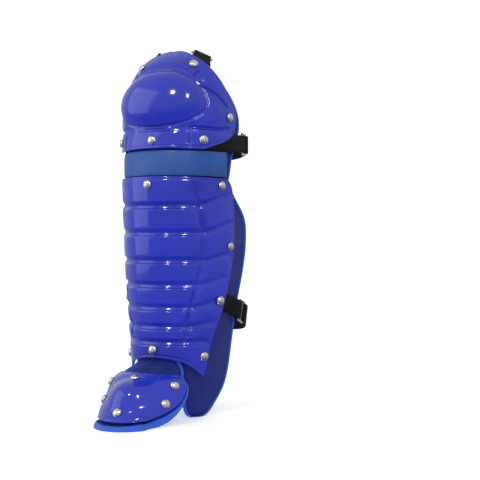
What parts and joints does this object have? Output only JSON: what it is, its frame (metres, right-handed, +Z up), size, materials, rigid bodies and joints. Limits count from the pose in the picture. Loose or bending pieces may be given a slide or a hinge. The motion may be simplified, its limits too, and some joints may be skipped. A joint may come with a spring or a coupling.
{
  "type": "catcher's leg guard",
  "caption": "Baseball catcher's leg guard: hard ribbed shin, domed knee and toe cap over a padded liner, with buckled webbing straps behind.",
  "frame": {"origin": "middle of the guard's base, on the floor it stands on", "axes": "+Z up the leg, -Y the way the guard faces, +X the side that shows the strap slides"},
  "size_m": [0.1755, 0.3046, 0.5179],
  "materials": {
    "shell_blue": "polished royal blue moulded shell",
    "band_blue": "satin steel blue",
    "padding": "navy nylon over foam",
    "binding": "bright blue woven edge binding",
    "webbing": "black woven webbing",
    "plated_steel": "bright nickel plate"
  },
  "bodies": {
    "root": {"shin_shell": "shell_blue", "knee_shell": "shell_blue", "toe_shell": "shell_blue", "middle_band": "band_blue", "knee_pad": "padding", "leg_liner": "padding", "toe_pad": "padding", "knee_pad_binding": "binding", "leg_liner_binding": "binding", "toe_pad_binding": "binding", "shin_rivet_head": "plated_steel", "shin_rivet_shoulder_right": "plated_steel", "shin_rivet_shoulder_left": "plated_steel", "shin_rivet_calf_right": "plated_steel", "shin_rivet_calf_left": "plated_steel", "shin_rivet_ankle_right": "plated_steel", "shin_rivet_ankle_left": "plated_steel", "shin_rivet_foot": "plated_steel", "shin_rivet_tip_right": "plated_steel", "shin_rivet_tip_left": "plated_steel", "knee_rivet_strip": "plated_steel", "knee_rivet_corner_right": "plated_steel", "knee_rivet_corner_left": "plated_steel", "knee_rivet_cheek_right": "plated_steel", "knee_rivet_cheek_left": "plated_steel", "knee_rivet_crown_right": "plated_steel", "knee_rivet_crown_left": "plated_steel", "toe_rivet_instep": "plated_steel", "toe_rivet_toe": "plated_steel", "toe_rivet_rear_right": "plated_steel", "toe_rivet_rear_left": "plated_steel", "toe_rivet_front_right": "plated_steel", "toe_rivet_front_left": "plated_steel", "strap_lower_tab_right": "webbing", "strap_lower_tab_left": "webbing", "strap_lower_elastic": "webbing", "strap_lower_slide": "plated_steel", "strap_lower_hook_loop": "plated_steel", "strap_middle_tab_right": "webbing", "strap_middle_tab_left": "webbing", "strap_middle_elastic": "webbing", "strap_middle_slide": "plated_steel", "strap_middle_hook_loop": "plated_steel", "strap_top_tab_right": "webbing", "strap_top_tab_left": "webbing", "strap_top_elastic": "webbing", "strap_top_slide": "plated_steel", "strap_top_hook_loop": "plated_steel"}
  },
  "joints": []
}
